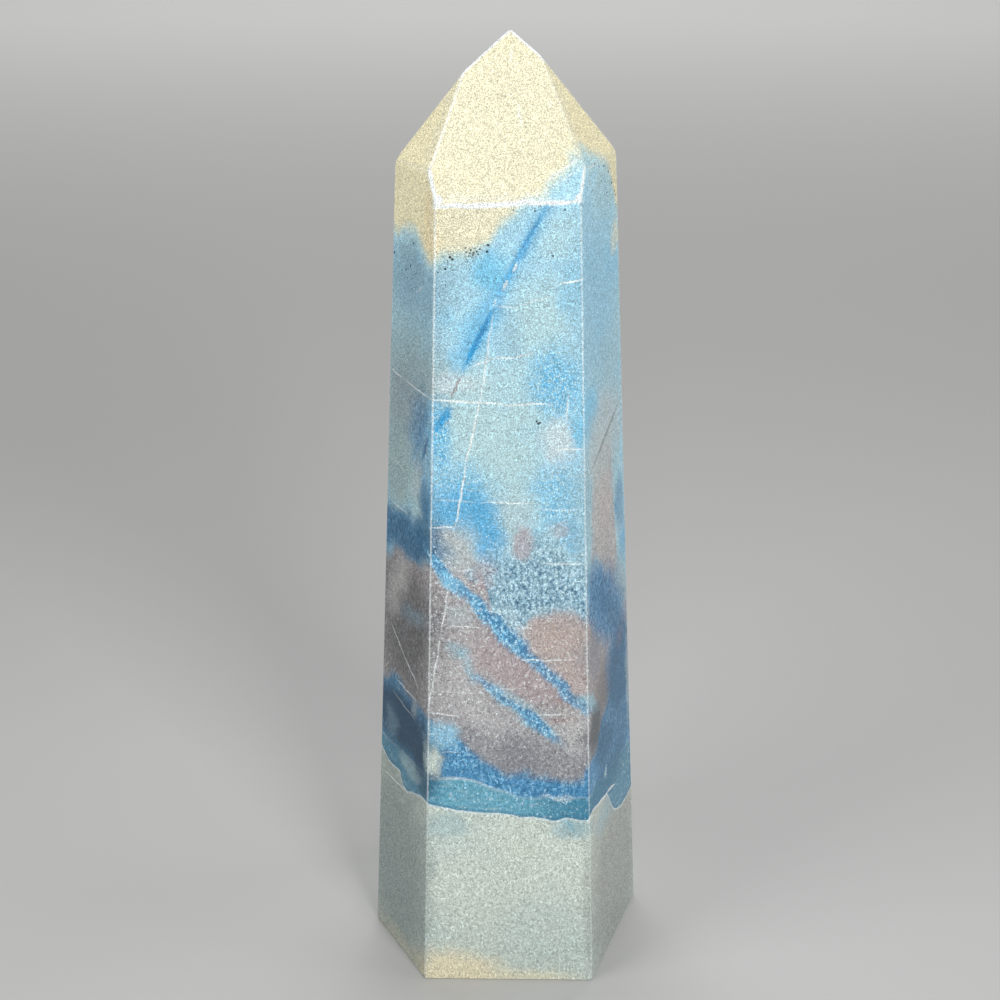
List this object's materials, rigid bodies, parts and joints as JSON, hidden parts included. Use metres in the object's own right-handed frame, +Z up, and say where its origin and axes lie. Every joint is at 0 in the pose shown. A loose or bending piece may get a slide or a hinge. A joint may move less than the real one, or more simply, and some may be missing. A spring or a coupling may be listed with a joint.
{
  "type": "trolleite obelisk",
  "caption": "Polished six-sided stone tower with a faceted point, banded in cream, blue, taupe and pale sea green, standing on its flat base.",
  "frame": {"origin": "centre of the flat base, on the surface that it stands on", "axes": "+Z up along the tower to its point, -Y out of the wide front face, +X to that face's right"},
  "size_m": [0.0338, 0.0254, 0.11],
  "materials": {
    "polished_trolleite": "polished; cream tip, blue body with darker blue streaks and white hairlines, taupe zone, blue and teal band, pale sea-green base"
  },
  "bodies": {
    "root": {"obelisk": "polished_trolleite"}
  },
  "joints": []
}
